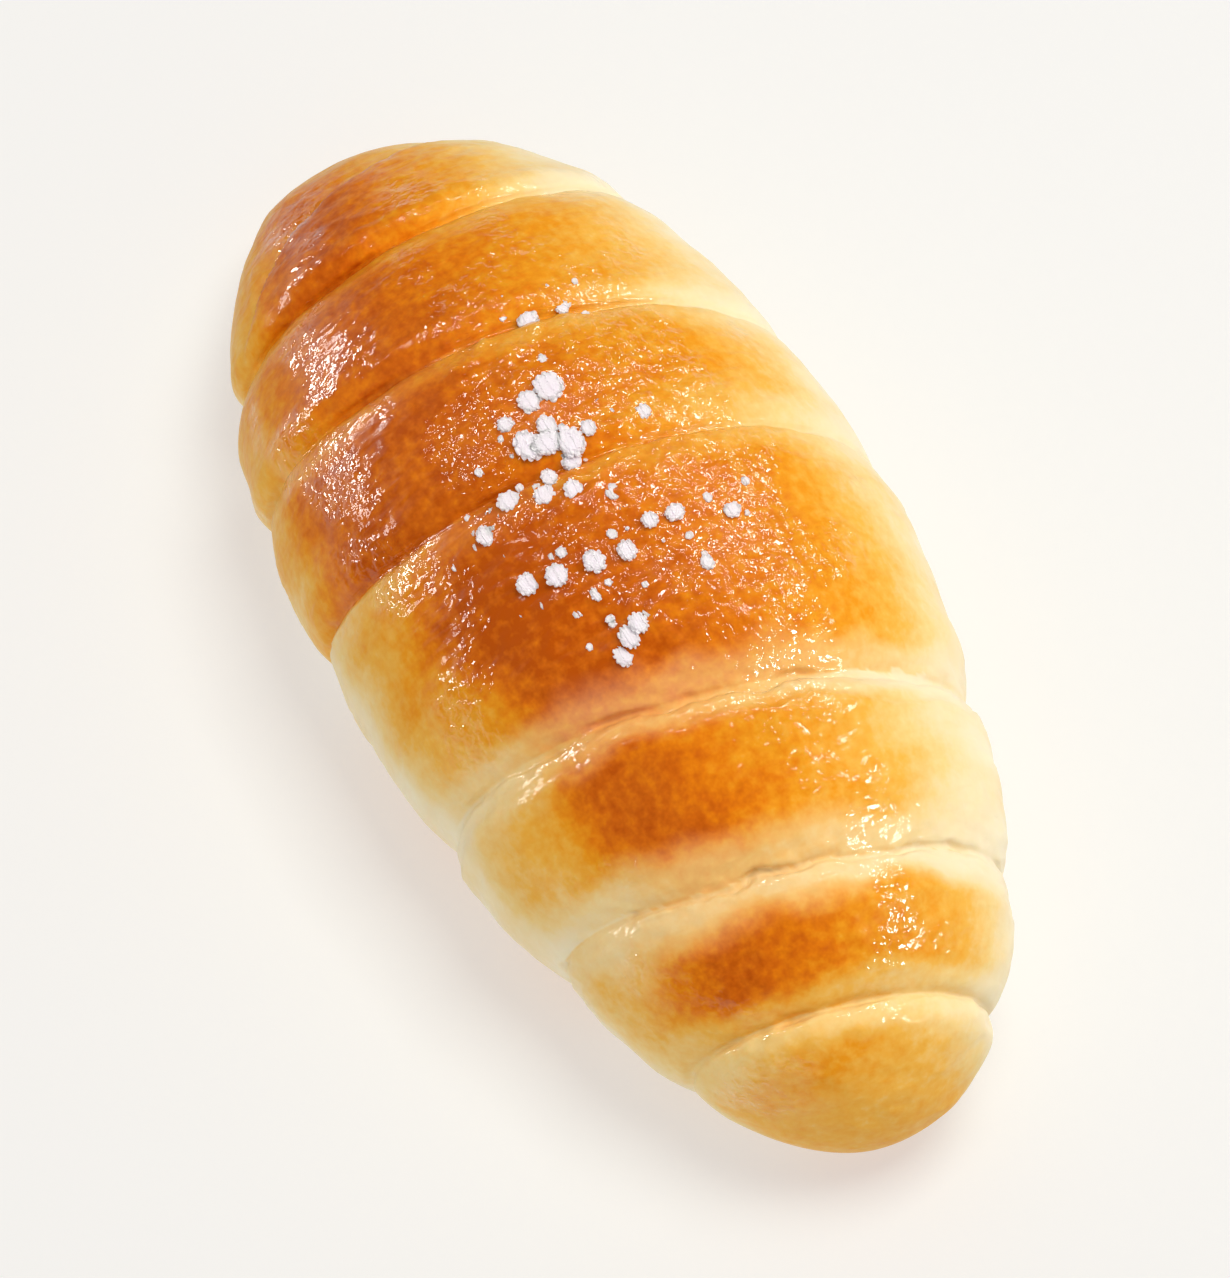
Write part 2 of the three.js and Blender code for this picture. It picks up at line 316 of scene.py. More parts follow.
def linear(hex_colour):
    """An sRGB hex colour as a linear RGBA one."""
    parts = [int(hex_colour[i:i + 2], 16) / 255 for i in (1, 3, 5)]
    bent = [p / 12.92 if p <= 0.04045 else ((p + 0.055) / 1.055) ** 2.4 for p in parts]
    return (*bent, 1.0)


def colour(name, description, hex_colour):
    """A colour that the user can change."""
    return bpy.props.FloatVectorProperty(
        name=name, description=description, subtype="COLOR", size=4, min=0, max=1,
        default=linear(hex_colour))


class CrustSettings(bpy.types.PropertyGroup):
    """The loaf's surface."""

    columns: bpy.props.IntProperty(
        name="Columns", description="Points round the loaf", default=288, min=24)
    rows: bpy.props.IntProperty(
        name="Rows", description="Points along the loaf", default=336, min=24)
    wrinkle_depth: bpy.props.FloatProperty(
        name="Wrinkle depth", description="Depth of the wrinkles in the crust's skin",
        default=0.13 * MM, subtype="DISTANCE", unit="LENGTH")
    crease_depth: bpy.props.FloatProperty(
        name="Crease depth", description="Depth of the fine crease along each seam",
        default=0.8 * MM, subtype="DISTANCE", unit="LENGTH")
    # Where these shades lie round the loaf holds painted light: the far flank is painted paler and
    # the near flank more golden.
    cream: colour("Cream", "Dough that the oven's heat hardly reached", "#F4E8C6")
    pale: colour("Pale", "Dough beside the burst seams", "#F1D18A")
    straw: colour("Straw", "The lightest baking", "#EFB54B")
    golden: colour("Golden", "The golden zone of the flanks", "#EA991E")
    amber: colour("Amber", "The rim of the browned crown", "#DF7B0D")
    brown: colour("Brown", "The browned crown", "#CC640C")
    dark: colour("Dark brown", "The strongest baking", "#B85004")
    bare: colour("Bare dough", "Dough that a burst seam laid bare", "#F4E2C6")


class SaltSettings(bpy.types.PropertyGroup):
    """The coarse salt."""

    crumbs: bpy.props.IntProperty(
        name="Crumbs", description="Small broken bits beside the grains", default=80, min=0)
    colour: colour("Salt", "The salt crystals", "#F1EAF3")


class StageSettings(bpy.types.PropertyGroup):
    """The floor, the light and the camera."""

    floor: colour("Floor", "The light table's opal sheet", "#CBD0C8")
    glow: bpy.props.FloatProperty(
        name="Glow", description="Brightness of the table's own light", default=0.465, min=0)
    sky: bpy.props.FloatProperty(
        name="Room light", description="Brightness of the room round the table", default=0.34,
        min=0)
    key: bpy.props.FloatProperty(
        name="Key light", description="Brightness of the low light on the far side",
        default=0.4, min=0)
    glint: bpy.props.FloatProperty(
        name="Glint lights", description="Brightness of the small lights that glint in the butter",
        default=0.4, min=0)
    top: bpy.props.FloatProperty(
        name="Top light", description="Brightness of the large diffuser above", default=0.48,
        min=0)
    front: bpy.props.FloatProperty(
        name="Front light", description="Brightness of the large diffuser on the near side",
        default=0.24, min=0)
    distance: bpy.props.FloatProperty(
        name="Camera distance", description="From the camera to the loaf",
        default=0.65, subtype="DISTANCE", unit="LENGTH")
    elevation: bpy.props.FloatProperty(
        name="Camera elevation", description="How steeply the camera looks down",
        default=math.radians(66), subtype="ANGLE", unit="ROTATION")
    heading: bpy.props.FloatProperty(
        name="Camera heading", description="Turn of the view about the vertical",
        default=math.radians(61), subtype="ANGLE", unit="ROTATION")


# ---------------------------------------------------------------------------
# The loaf's form
# ---------------------------------------------------------------------------


def smooth(value):
    """Smoothstep of values held between 0 and 1."""
    held = np.clip(value, 0, 1)
    return held * held * (3 - 2 * held)


def mix(first, second, share):
    """The value that lies that share of the way from the first to the second."""
    return first + (second - first) * share


def blend(along, read):
    """A seam's value carried smoothly over to the next seam's."""
    places = np.array([seam["along"] for seam in SEAMS])
    values = np.array([read(seam) for seam in SEAMS], dtype=float)
    left = np.clip(np.searchsorted(places, along, side="right") - 1, 0, len(SEAMS) - 2)
    share = smooth((along - places[left]) / (places[left + 1] - places[left]))
    return mix(values[left], values[left + 1], share)


def inward_of(seam, along):
    """Distance from a seam, above 0 on the upper turn."""
    return along - seam["along"] if seam["along"] < MIDDLE else seam["along"] - along


def seam_depth(along, flank):
    """How far the surface is sunk by the seams."""
    sideways = flank * flank
    deepest = np.zeros(np.broadcast(along, flank).shape)
    for seam in SEAMS:
        inward = inward_of(seam, along)
        on_lip = np.clip(1 - inward / seam["lip"], 0, 1)
        in_tuck = np.clip(1 + inward / seam["tuck"], 0, 1)
        rounded = 1 - np.sqrt(1 - on_lip * on_lip)
        lip = mix(on_lip * on_lip, rounded, seam["overlap"])
        shape = np.where(inward >= 0, lip, in_tuck ** TUCK_CURVE)
        near, crown, far = seam["deep"]
        depth = crown * (1 - sideways) + np.where(flank < 0, near, far) * sideways
        deepest = np.maximum(deepest, shape * depth)
    return deepest


def unevenness(along, angle):
    """How far two slow waves lift the surface off a true form."""
    short = np.sin(along / SHORT_WAVE["run"] + SHORT_WAVE["bend"] * np.sin(angle))
    long = np.sin(along / LONG_WAVE["run"] - LONG_WAVE["twist"] * angle + LONG_WAVE["start"])
    return UNEVENNESS * (short + long) / 2


def surface(along, angle):
    """Points of the surface, in millimetres, at places along the loaf and angles round it."""
    wide = along < 0
    share = along / HALF_LENGTH
    fullness = np.where(wide, *FULLNESS)
    swell = np.maximum(0, 1 - np.abs(share) ** fullness) ** (1 / fullness)
    flank = np.sin(angle)

    lean = blend(along, lambda seam: seam["lean"])
    ratio = (HALF_WIDTH / HALF_LENGTH) ** 2
    centre = -lean * along * ratio / (1 + lean * lean * ratio) + BOW * (1 - share * share)

    width = HALF_WIDTH * swell * (1 - TAPER * share)
    height = (CROWN_HEIGHT - WIDEST_HEIGHT) * swell
    fade = np.minimum(1, width / FULL_DEPTH_WIDTH)
    sunk = (seam_depth(along, flank) - unevenness(along, angle)) * fade
    tip = np.where(wide, *TIP_HEIGHTS)
    middle = tip + (WIDEST_HEIGHT - tip) * swell

    y = centre + np.maximum(0, width - sunk) * flank
    near = blend(along, lambda seam: seam["sweep"][0])
    far = blend(along, lambda seam: seam["sweep"][1])
    x = along + lean * y + np.where(flank < 0, near, far) * flank * flank * swell
    free = middle + np.maximum(0, height - sunk) * np.cos(angle)
    edge = np.maximum(0, BASE_ROUNDING - np.abs(free))
    z = np.maximum(0, free) + edge * edge / (4 * BASE_ROUNDING)
    return np.stack([x - OUTLINE_MIDDLE[0], y - OUTLINE_MIDDLE[1], z], axis=-1)


def row_places(rows):
    """Places of the rows along the loaf, close together at the seams and the tips."""
    fine = np.linspace(-HALF_LENGTH, HALF_LENGTH, ROW_SAMPLES)
    density = EVEN_ROWS + TIP_ROWS / np.sqrt(TIP_LIMIT - (fine / HALF_LENGTH) ** 2)
    for seam in SEAMS:
        density += SEAM_ROWS * np.exp(-((fine - seam["along"]) / SEAM_ROWS_REACH) ** 2)
    total = np.concatenate([[0], np.cumsum((density[1:] + density[:-1]) / 2)])
    return np.interp(np.linspace(0, total[-1], rows + 1), total, fine)


def column_angles(columns):
    """Angles of the columns round the loaf, close together on the crown."""
    turn = 2 * np.pi * np.arange(columns) / columns
    return turn - CROWN_COLUMNS * np.sin(turn)


def lumps(points, size, octaves, seed):
    """Layered lattice noise, from about -1 to 1, at points in millimetres. `size` is the spacing
    of its largest lumps along X, Y and Z."""
    total = np.zeros(points.shape[:-1])
    right, back, up = LATTICE
    steps = (0, right, back, right + back, up, up + right, up + back, up + right + back)
    for octave in range(octaves):
        place = points / np.array(size, dtype=float) * 2 ** octave + OCTAVE_SHIFT * octave + seed
        cell = np.floor(place)
        spot = cell @ np.array(LATTICE)
        x, y, z = np.moveaxis(smooth(place - cell), -1, 0)
        corners = [np.modf(np.abs(np.sin(spot + step)) * SCATTER)[0] for step in steps]
        low, high = (mix(mix(four[0], four[1], x), mix(four[2], four[3], x), y)
                     for four in (corners[:4], corners[4:]))
        total += (2 * mix(low, high, z) - 1) / 2 ** octave
    return total


def pattern(points, name):
    """One of the named patterns of lumps."""
    return lumps(points, *PATTERNS[name])


def seam_pattern(girth, name, number):
    """A pattern's values along the seam of that number, round the loaf, as one row."""
    size, octaves, seed = SEAM_PATTERNS[name]
    zeros = np.zeros_like(girth)
    line = np.stack([girth, zeros, zeros], axis=-1)
    return lumps(line, (size, 1, 1), octaves, seed + number)[None, :]


def wrapped(angle):
    """An angle in degrees from -180 to 180."""
    return (np.degrees(angle) + 180) % 360 - 180


def at_angles(table, degrees):
    """A table's values, given for angles round the loaf, at other angles."""
    return np.interp(degrees, list(table), list(table.values()))


def turn_of(along):
    """The number of the turn of dough at each place along the loaf."""
    return np.searchsorted([seam["along"] for seam in SEAMS], along)


def fold_hollow(along, angle):
    """The hollow beside the fold in the wide end, from 0 to 1, deepest at the fold."""
    outward = at_angles(FOLD, wrapped(angle)) - along
    past = np.exp(-np.maximum(outward, 0) / FOLD_REACH)
    hollow = np.where(outward > 0, past, smooth(1 + outward))
    return hollow * smooth((FOLD_END - np.abs(wrapped(angle))) / FOLD_FADE)


def crust_relief(along, angle, points, crease_depth, wrinkle_depth):
    """Fine relief on top of the form, in millimetres: creases, torn skin and wrinkles."""
    relief = np.zeros(points.shape[:-1])
    degrees = wrapped(angle[0])
    girth = degrees * GIRTH
    above = smooth((RELIEF_END - np.abs(degrees))[None, :] / RELIEF_FADE)
    for number, seam in enumerate(SEAMS):
        ragged = seam_pattern(girth, "ragged", number) * CREASE["ragged"] * seam["torn"]
        inward = inward_of(seam, along) + ragged + CREASE["outside"]
        gape = CREASE["usual"] + CREASE["varies"] * seam_pattern(girth, "gape", number)
        cut = np.clip(gape, CREASE["least"], 1) * np.exp(-(inward / CREASE["width"]) ** 2)
        relief -= crease_depth * cut
        if seam["torn"] > TORN:
            skin = seam_pattern(girth, "skin", number) * SKIN_EDGE["sway"]
            edge = -inward - SKIN_EDGE["place"] * seam["reach"][1] - skin
            risen = smooth(edge / SKIN_EDGE["step"]) * smooth(1 - edge / SKIN_EDGE["length"])
            relief += SKIN_EDGE["height"] * risen
            ribs = np.sin(2 * np.pi * (inward + skin) / RIBS["gap"])
            relief += RIBS["depth"] * ribs * np.exp(
                -((inward + RIBS["outside"]) / RIBS["reach"]) ** 2)
    swells = pattern(points, "swells")
    wrinkles = (1 - 2 * np.abs(pattern(points, "wrinkles"))) * np.clip(0.5 + swells, 0, 1)
    relief += wrinkle_depth * (SWELLS * swells + wrinkles)
    relief += wrinkle_depth * (BLISTERS * blisters(points) + pattern(points, "dimples"))
    relief -= FOLD_DEPTH * fold_hollow(along, angle)
    return relief * above


def salted(points):
    """The part of the crown that melting salt wetted, from 0 to 1."""
    away = (points[..., :2] - SALTED["middle"]) / SALTED["reach"]
    return smooth(SALTED["fade"] - (away ** 2).sum(axis=-1))


def blisters(points):
    """Small raised blisters, from 0 to 1, where melting salt wetted the crown."""
    raised = smooth((pattern(points, "blisters") - BLISTER_LEVEL) / BLISTER_SOFT)
    patches = smooth((pattern(points, "blister_patches") - BLISTER_PATCHES) / BLISTER_SOFT)
    return raised * patches * salted(points)


def butter(along, angle, points, baked_and_side_lit):
    """How thickly melted butter stands on the blistered skin, from 0 to 1. Pale dough soaks it up,
    and it ran off the ends."""
    usual = at_angles(BUTTER, wrapped(angle))
    melted = BUTTER_PATCHY * pattern(points, "butter") + usual + BUTTER_ON_SALTED * salted(points)
    standing = smooth((melted - BUTTER_LEVEL) / BUTTER_SOFT)
    wide_end, narrow_end = BUTTER_ENDS
    ends = smooth((HALF_LENGTH + along) / wide_end) * smooth((HALF_LENGTH - along) / narrow_end)
    return standing * ends * mix(BUTTER_ON_PALE, 1, smooth(baked_and_side_lit / BUTTER_BROWN))


def browning_and_side_light(along, angle, points):
    """How strongly each point is baked, from 0, pale, to 1, dark brown, and how much of it is
    dough laid bare by a burst seam. The first holds painted light as well: the far flank is painted
    paler and the near flank more golden, as light and shade fall on them."""
    turn = turn_of(along)
    heat, near, far = (np.array([t[key] for t in TURNS])[turn] for key in ("heat", "near", "far"))
    warp = pattern(points, "heat")
    degrees = wrapped(angle) + HEAT_WARP * warp
    on_near = smooth((-SIDES_START - degrees) / SIDES_SOFT)
    on_far = smooth((degrees + SIDES_START) / SIDES_SOFT)
    degrees = degrees + near * on_near + far * on_far
    # Painted light: the table makes the far side paler and the near side more golden, as light and
    # shade fall.
    baked_and_side_lit = heat * at_angles(BROWNING_AND_SIDE_LIGHT, degrees)
    baked_and_side_lit += MOTTLING * (warp + pattern(points, "streaks"))
    baked_and_side_lit *= 1 - FOLD_PALE * fold_hollow(along, angle)

    ragged = pattern(points, "pale_edge")
    sway = 1 + PALE_SWAY * pattern(points, "pale_sway")
    low = smooth((LOW_FLANK["start"] - wrapped(angle)) / LOW_FLANK["soft"])
    on_far_tuck = smooth((wrapped(angle) - FAR_TUCK["start"]) / FAR_TUCK["soft"])
    on_near_tuck = smooth(-wrapped(angle) / NEAR_TUCK_SOFT)
    bare = np.zeros_like(baked_and_side_lit)
    for seam in SEAMS:
        inward = inward_of(seam, along) + (PALE_RAGGED + PALE_TORN * seam["torn"]) * ragged
        lip, tuck, far_tuck = seam["pale"]
        share = np.where(inward > 0, lip, mix(tuck, far_tuck, on_far_tuck))
        share = share * (1 - LOW_FLANK["less"] * low)
        lip, tuck, near_tuck = seam["reach"]
        reach = np.where(inward > 0, lip, mix(tuck, near_tuck, on_near_tuck)) * sway
        faded = smooth((np.abs(inward) / reach - PALE_CORE) / (1 - PALE_CORE))
        missed = share * (1 - faded)
        bare = np.maximum(bare, missed * seam["torn"])
        baked_and_side_lit *= 1 - missed
    for way, (outermost, start) in zip((-1, 1), TIPS):
        share = way * along / HALF_LENGTH
        tip = smooth((share - start) / (1 - start))
        cap = smooth((share - CAP[0]) / (CAP[1] - CAP[0]))
        baked_and_side_lit = mix(mix(baked_and_side_lit, np.minimum(baked_and_side_lit, outermost), tip), outermost, cap)
    return np.clip(baked_and_side_lit, 0, 1), BARE_TINT * bare


# ---------------------------------------------------------------------------
# Materials
# ---------------------------------------------------------------------------


def node(tree, kind, settings=None, links=None):
    """Adds a node with its settings and the sockets or values of its inputs."""
    made = tree.nodes.new(kind)
    for name, value in (settings or {}).items():
        setattr(made, name, value)
    for name, value in (links or {}).items():
        socket = made.inputs[name]
        if isinstance(value, bpy.types.NodeSocket):
            tree.links.new(value, socket)
        else:
            socket.default_value = value
    return made


def new_material(name):
    """An empty material of nodes."""
    material = bpy.data.materials.new(name)
    material.use_nodes = True
    material.node_tree.nodes.clear()
    return material


def per_mm(size):
    """Scale of a pattern whose repeat is `size` millimetres."""
    return 1 / (size * MM)


def crust_material(settings):
    """Baked, buttered crust: browned by the oven's heat from above, with painted light in its shades
    as well, the far flank painted paler and the near flank more golden. A thin coat of melted
    butter over fine wrinkles breaks highlights into small curved glints."""
    material = new_material("baked_buttered_crust")
    tree = material.node_tree
    place = node(tree, "ShaderNodeTexCoord").outputs["Object"]
    # This attribute carries painted light and shade on the flanks as well as the oven's browning.
    baked_and_side_lit = node(tree, "ShaderNodeAttribute", {"attribute_name": "browning_and_side_light"}).outputs["Fac"]

    # Uneven heat: blotches of 5 mm, drawn out round the loaf, and freckles of 1.3 mm.
    stretch = node(tree, "ShaderNodeMapping", None, {
        "Vector": place, "Rotation": (0, 0, -0.15), "Scale": (1.0, 0.45, 0.45)})
    blotches = node(tree, "ShaderNodeTexNoise", None, {
        "Vector": stretch.outputs[0], "Scale": per_mm(BLOTCH_SIZE), "Detail": 4.0, "Roughness": 0.65})
    freckles = node(tree, "ShaderNodeTexNoise", None, {
        "Vector": place, "Scale": per_mm(FRECKLE_SIZE), "Detail": 2.0, "Roughness": 0.6})
    blotch = node(tree, "ShaderNodeMath", {"operation": "MULTIPLY_ADD"}, {
        0: blotches.outputs["Fac"], 1: BLOTCHY, 2: UNCHANGED})
    freckle = node(tree, "ShaderNodeMath", {"operation": "MULTIPLY_ADD"}, {
        0: freckles.outputs["Fac"], 1: FRECKLED, 2: blotch.outputs[0]})
    level = node(tree, "ShaderNodeMath", {"operation": "MULTIPLY"}, {
        0: freckle.outputs[0], 1: baked_and_side_lit})
    ramp = node(tree, "ShaderNodeValToRGB", None, {"Fac": level.outputs[0]})
    shades = (settings.cream, settings.pale, settings.straw, settings.golden, settings.amber,
              settings.brown, settings.dark)
    ramp.color_ramp.elements.remove(ramp.color_ramp.elements[1])
    for index, shade in enumerate(shades):
        position = index / (len(shades) - 1)
        stop = ramp.color_ramp.elements.new(position) if index else ramp.color_ramp.elements[0]
        stop.color = shade

    bare = node(tree, "ShaderNodeAttribute", {"attribute_name": "bare"}).outputs["Fac"]
    dough = node(tree, "ShaderNodeMix", {"data_type": "RGBA"}, {
        0: bare, 6: ramp.outputs[0], 7: settings.bare})

    # Wrinkles run round the loaf, 1.1 mm apart and about 2 mm long.
    wrinkles = node(tree, "ShaderNodeTexNoise", None, {
        "Vector": stretch.outputs[0], "Scale": per_mm(WRINKLE_SIZE), "Detail": 1.0,
        "Roughness": 0.4, "Distortion": 0.3})
    wrinkle_bump = node(tree, "ShaderNodeBump", None, {
        "Height": wrinkles.outputs["Fac"], "Strength": 0.6, "Distance": 0.3 * MM})

    # Where butter stands, the skin under it is puckered into curved ripples of 1 mm.
    butter = node(tree, "ShaderNodeAttribute", {"attribute_name": "butter"}).outputs["Fac"]
    ripples = node(tree, "ShaderNodeTexNoise", None, {
        "Vector": place, "Scale": per_mm(RIPPLE_SIZE), "Detail": 1.0, "Roughness": 0.45,
        "Distortion": 0.7})
    coat = node(tree, "ShaderNodeMapRange", None, {
        "Value": butter, "From Max": 0.6, "To Min": 0.02, "To Max": 1.0})
    glaze_bump = node(tree, "ShaderNodeBump", None, {
        "Height": ripples.outputs["Fac"], "Strength": coat.outputs["Result"],
        "Distance": 0.34 * MM, "Normal": wrinkle_bump.outputs[0]})
    skin = node(tree, "ShaderNodeBsdfPrincipled", None, {
        "Base Color": dough.outputs[2], "Roughness": 0.35, "IOR": 1.46,
        "Specular IOR Level": 0.06, "Subsurface Weight": 0.12,
        "Subsurface Radius": (1.0, 0.45, 0.18), "Subsurface Scale": 2.5 * MM,
        "Coat Weight": coat.outputs["Result"], "Coat Roughness": 0.05,
        "Coat IOR": 1.46, "Normal": wrinkle_bump.outputs[0], "Coat Normal": glaze_bump.outputs[0]})
    node(tree, "ShaderNodeOutputMaterial", None, {"Surface": skin.outputs[0]})
    return material


def salt_material(settings):
    """Coarse sea salt: lumps of fused white crystals, slightly translucent, their faces broken
    up by a fine bump of small facets."""
    material = new_material("coarse_sea_salt")
    tree = material.node_tree
    place = node(tree, "ShaderNodeTexCoord").outputs["Object"]
    facets = node(tree, "ShaderNodeTexVoronoi", None, {
        "Vector": place, "Scale": per_mm(FACET_SIZE)})
    bump = node(tree, "ShaderNodeBump", None, {
        "Height": facets.outputs["Distance"], "Strength": 0.3, "Distance": 0.06 * MM})
    skin = node(tree, "ShaderNodeBsdfPrincipled", None, {
        "Base Color": settings.colour, "Roughness": 0.45, "IOR": 1.544,
        "Transmission Weight": 0.1, "Subsurface Weight": 1.0,
        "Subsurface Radius": (1.0, 0.95, 1.0), "Subsurface Scale": 0.4 * MM,
        "Normal": bump.outputs[0]})
    node(tree, "ShaderNodeOutputMaterial", None, {"Surface": skin.outputs[0]})
    return material


def floor_material(settings):
    """A light table's opal white sheet, matte, glowing evenly and lit from above as well."""
    material = new_material("light_table")
    tree = material.node_tree
    skin = node(tree, "ShaderNodeBsdfPrincipled", None, {
        "Base Color": settings.floor, "Roughness": 0.95, "Specular IOR Level": 0.1,
        "Emission Color": linear(FLOOR_GLOW), "Emission Strength": settings.glow})
    node(tree, "ShaderNodeOutputMaterial", None, {"Surface": skin.outputs[0]})
    return material


# ---------------------------------------------------------------------------
# Operators
# ---------------------------------------------------------------------------


def deselect_all():
    """Leaves edit mode and deselects every object."""
    if bpy.context.object and bpy.context.object.mode != "OBJECT":
        bpy.ops.object.mode_set(mode="OBJECT")
    bpy.ops.object.select_all(action="DESELECT")


def settle(piece, name, material):
    """Puts a finished piece's place into its mesh, names it and gives it its material."""
    piece.data.transform(piece.matrix_world)
    piece.matrix_world = Matrix.Identity(4)
    piece.name = piece.data.name = name
    piece.data.materials.clear()
    piece.data.materials.append(material)
    return piece


class BREAD_OT_loaf(bpy.types.Operator):
    """Model the loaf with its turns, seams and browned crust"""

    bl_idname = "bread.loaf"
    bl_label = "Loaf"

    def execute(self, context):
        settings = context.scene.crust_settings
        columns, rows = settings.columns, settings.rows
        deselect_all()
        bpy.ops.mesh.primitive_grid_add(x_subdivisions=rows, y_subdivisions=columns, size=2)
        loaf = context.object

        # The sheet's X becomes the way along the loaf, and its Y the way round it.
        sheet = np.zeros(len(loaf.data.vertices) * 3)
        loaf.data.vertices.foreach_get("co", sheet)
        sheet = sheet.reshape(-1, 3)
        row = np.rint((sheet[:, 0] + 1) / 2 * rows).astype(int)
        column = np.rint((sheet[:, 1] + 1) / 2 * columns).astype(int) % columns

        along = row_places(rows)[:, None]
        angle = column_angles(columns)[None, :]
        points = surface(along, angle)
        relief = crust_relief(along, angle, points, settings.crease_depth / MM,
                              settings.wrinkle_depth / MM)
        shaped = points + self.normals(points) * relief[..., None]
        shaped = np.clip(shaped, *(np.array(corner) / MM for corner in CAD_BOX))
        loaf.data.vertices.foreach_set("co", (shaped[row, column] * MM).ravel())
        # The browning holds painted light and shade on the flanks as well as the oven's browning.
        baked_and_side_lit, bare = browning_and_side_light(along, angle, points)
        coating = butter(along, angle, points, baked_and_side_lit)
        for name, values in (("browning_and_side_light", baked_and_side_lit), ("bare", bare), ("butter", coating)):
            attribute = loaf.data.attributes.new(name, "FLOAT", "POINT")
            attribute.data.foreach_set("value", values[row, column])
        loaf.data.update()

        bpy.ops.object.mode_set(mode="EDIT")
        bpy.ops.mesh.select_all(action="SELECT")
        bpy.ops.mesh.remove_doubles(threshold=0.001 * MM)
        bpy.ops.mesh.normals_make_consistent(inside=False)
        bpy.ops.object.mode_set(mode="OBJECT")
        bpy.ops.object.shade_smooth()
        settle(loaf, "crust", crust_material(settings))
        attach(loaf, BODY)
        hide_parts(NODE)
        return {"FINISHED"}

    @staticmethod
    def normals(points):
        """Outward normals of a net of points, rows by columns, closed round the columns."""
        down = np.gradient(points, axis=0)
        across = np.roll(points, -1, axis=1) - np.roll(points, 1, axis=1)
        normal = np.cross(across, down)
        length = np.linalg.norm(normal, axis=-1, keepdims=True)
        normal = normal / np.maximum(length, 1e-9)
        middle = points.shape[0] // 2
        return normal if normal[middle, 0, 2] > 0 else -normal


def salt_places():
    """The middle, on the crust, and the diameter of every grain, in millimetres."""
    state = SEED
    places = []

    def draw():
        nonlocal state
        state = (state * 1664525 + 1013904223) & 0xFFFFFFFF
        return state / 4294967296

    for trail in TRAILS:
        for index in range(trail["count"]):
            share = index / (trail["count"] - 1) if trail["count"] > 1 else 0
            along = mix(trail["from"][0], trail["to"][0], share) + STRAY * (2 * draw() - 1)
            across = mix(trail["from"][1], trail["to"][1], share) + STRAY * (2 * draw() - 1)
            diameter = trail["grain"] * (1 + GRAIN_SPREAD * (2 * draw() - 1))
            place = surface(np.array([along]), np.array([math.asin(across / HALF_WIDTH)]))[0]
            place[2] += diameter / 2 * (1 - 2 * GRAIN_SINK)
            places.append((place, diameter))
            for _ in range(FORM_DRAWS):
                draw()
    return places


class BREAD_OT_salt(bpy.types.Operator):
    """Scatter the coarse salt over the crown"""

    bl_idname = "bread.salt"
    bl_label = "Salt"

    def execute(self, context):
        settings = context.scene.salt_settings
        random.seed(SEED)
        places = salt_places()
        bits = []
        for place, diameter in places:
            place[2] -= GRAIN_SETTLED * diameter
            bits.append(self.crystal(place, diameter, GRAIN_DETAIL))
        for _ in range(settings.crumbs):
            (x, y, _), _ = random.choice(places)
            reach, turn = random.uniform(*CRUMB_REACH), random.uniform(0, 2 * math.pi)
            place = self.crown_point(x + reach * math.cos(turn), y + reach * math.sin(turn))
            place[2] -= CRUMB_SINK
            diameter = random.uniform(*CRUMB_ROOTS) ** 2 * CRUMB_WIDTH
            bits.append(self.crystal(place, diameter, CRUMB_DETAIL))
        deselect_all()
        for bit in bits:
            bit.select_set(True)
        context.view_layer.objects.active = bits[0]
        bpy.ops.object.join()
        salt = context.object
        settle(salt, "salt", salt_material(settings))
        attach(salt, BODY)
        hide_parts(NODE)
        return {"FINISHED"}

    @staticmethod
    def crown_point(x, y):
        """The point of the crown over a place of the plan, in millimetres."""
        along = np.linspace(x - CROWN_REACH, x + CROWN_REACH, CROWN_REACH * 10 + 1)[:, None]
        angle = np.radians(np.linspace(-CROWN_SIDE, CROWN_SIDE, CROWN_SIDE * 2 + 1))[None, :]
        points = surface(along, angle).reshape(-1, 3)
        return points[np.argmin((points[:, 0] - x) ** 2 + (points[:, 1] - y) ** 2)]

    @staticmethod
    def crystal(place, diameter, subdivisions):
        """A flat, scalloped lump of cubic crystals grown together, about `diameter` across."""
        deselect_all()
        bpy.ops.mesh.primitive_ico_sphere_add(
            subdivisions=subdivisions, radius=1, location=Vector(place) * MM)
        lump = bpy.context.object
        turned = Matrix.Rotation(random.uniform(0, math.pi), 3, "Z")
        cubes = turned @ Matrix.Rotation(GRAIN_TILT, 3, "X")
        broad = Matrix.Diagonal(
            (random.uniform(*GRAIN_LONG), random.uniform(*GRAIN_BROAD), GRAIN_THICK))
        shift = Vector([random.uniform(0, 100) for _ in range(3)])
        for vertex in lump.data.vertices:
            way = vertex.co.copy()
            near, next_near = noise.voronoi(way * SCALLOPS + shift)[0][:2]
            scallop = min(next_near - near, SCALLOP_TOP) * (1 - abs(way.z)) ** 0.5
            bulge = SCALLOP_ROOT + SCALLOP_HEIGHT * scallop
            out = math.hypot(way.x, way.y)
            squared = Vector((way.x, way.y, 0)) * out ** (BLOCKY - 1) if out > 1e-6 else Vector()
            squared.z = math.copysign(abs(way.z) ** BLOCKY, way.z)
            shape = cubes @ (broad @ squared) * bulge * diameter / 2
            stepped = Vector([(round(value / GRAIN_STEP + k) - k) * GRAIN_STEP
                              for value, k in zip(shape, shift)])
            vertex.co = cubes.inverted() @ shape.lerp(stepped, GRAIN_STEPPED) * MM
        return lump


